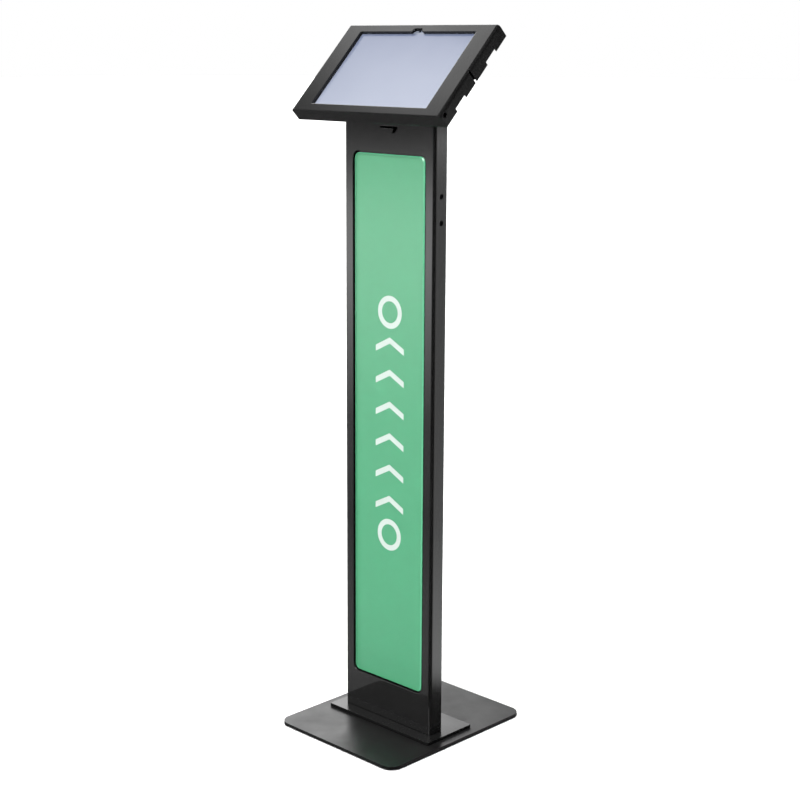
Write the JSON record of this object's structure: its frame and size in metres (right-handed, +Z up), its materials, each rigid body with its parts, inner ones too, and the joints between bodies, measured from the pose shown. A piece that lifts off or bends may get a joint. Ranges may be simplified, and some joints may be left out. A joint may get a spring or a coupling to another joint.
{
  "type": "touchscreen kiosk",
  "caption": "Free-standing kiosk with a slim column on a flat base plate, a printed front panel and a tablet in a tilted, hinged and lockable enclosure.",
  "frame": {"origin": "on the floor under the middle of the base plate", "axes": "+Z up; -Y towards the visitor, whom the screen faces; +X to the visitor's right"},
  "size_m": [0.307, 0.3022, 1.0943],
  "materials": {
    "black_powder_coat": "fine satin powder coat",
    "black_gloss_coat": "smooth glossy coat",
    "black_zinc": "black zinc plating",
    "zinc_steel": "bright zinc plating",
    "rubber": "matte",
    "foam": "closed-cell foam",
    "green_print": "printed sheet, green",
    "clear_acrylic": "polished, bevelled edge",
    "screen_glass": "polished",
    "display_picture": "lit display",
    "tablet_graphite": "bead-blasted, anodised",
    "lens_black": "polished"
  },
  "bodies": {
    "stand": {"back_shell": "black_powder_coat", "base_plate": "black_gloss_coat", "bracket_nut_1": "zinc_steel", "bracket_nut_2": "zinc_steel", "bracket_nut_3": "zinc_steel", "bracket_nut_4": "zinc_steel", "bracket_screw_1": "black_zinc", "bracket_screw_2": "black_zinc", "bracket_screw_3": "black_zinc", "bracket_screw_4": "black_zinc", "cable_clip_1": "rubber", "cable_clip_2": "rubber", "cable_grommet": "rubber", "clear_cover": "clear_acrylic", "column_shell": "black_powder_coat", "foot_bolt_1": "black_zinc", "foot_bolt_2": "black_zinc", "foot_bolt_3": "black_zinc", "foot_bolt_4": "black_zinc", "foot_plate": "black_powder_coat", "front_camera": "lens_black", "head_bracket": "black_powder_coat", "hinge_pin_bottom": "zinc_steel", "hinge_pin_top": "zinc_steel", "insert_clip_1": "zinc_steel", "insert_clip_2": "zinc_steel", "insert_clip_3": "zinc_steel", "insert_clip_4": "zinc_steel", "insert_tray": "black_powder_coat", "lock_catch": "zinc_steel", "mount_screw_1": "black_zinc", "mount_screw_2": "black_zinc", "mount_screw_3": "black_zinc", "mount_screw_4": "black_zinc", "printed_insert": "green_print", "rubber_foot_1": "rubber", "rubber_foot_2": "rubber", "rubber_foot_3": "rubber", "rubber_foot_4": "rubber", "tablet_display": "display_picture", "tablet_glass": "screen_glass", "tablet_housing": "tablet_graphite", "tablet_pad_1": "rubber", "tablet_pad_2": "rubber", "tablet_pad_3": "rubber", "tablet_pad_4": "rubber"},
    "front_frame": {"front_frame": "black_powder_coat", "window_gasket": "foam", "lock_barrel": "black_zinc", "lock_nut": "zinc_steel"},
    "lock_plug": {"lock_plug": "black_zinc", "lock_cam": "zinc_steel"},
    "power_button": {"power_button": "tablet_graphite"},
    "volume_button": {"volume_button": "tablet_graphite"},
    "rear_cover": {"rear_cover": "black_powder_coat", "cover_screw_bottom": "black_zinc", "cover_screw_top": "black_zinc"}
  },
  "joints": [
    {"name": "front_frame_hinge", "type": "hinge", "parent": "stand", "child": "front_frame", "pos_m": [-0.1485, -0.01011, 1.01609], "axis": [0, -0.7009, -0.7133], "range_deg": [0, 105]},
    {"name": "lock_turn", "type": "hinge", "parent": "front_frame", "child": "lock_plug", "pos_m": [0.14, -0.07633, 0.9711], "axis": [1, 0, 0], "range_deg": [0, 90]},
    {"name": "power_button_press", "type": "slide", "parent": "stand", "child": "power_button", "axis": [0, -0.7009, -0.7133], "range_m": [0, 0.0004], "stiffness_N_per_m": 3000, "springref_m": -0.0002},
    {"name": "volume_button_press", "type": "slide", "parent": "stand", "child": "volume_button", "axis": [0, -0.7009, -0.7133], "range_m": [0, 0.0004], "stiffness_N_per_m": 3000, "springref_m": -0.0002},
    {"name": "rear_cover_slide", "type": "slide", "parent": "stand", "child": "rear_cover", "axis": [0, 1, 0], "range_m": [0, 0.12]}
  ]
}
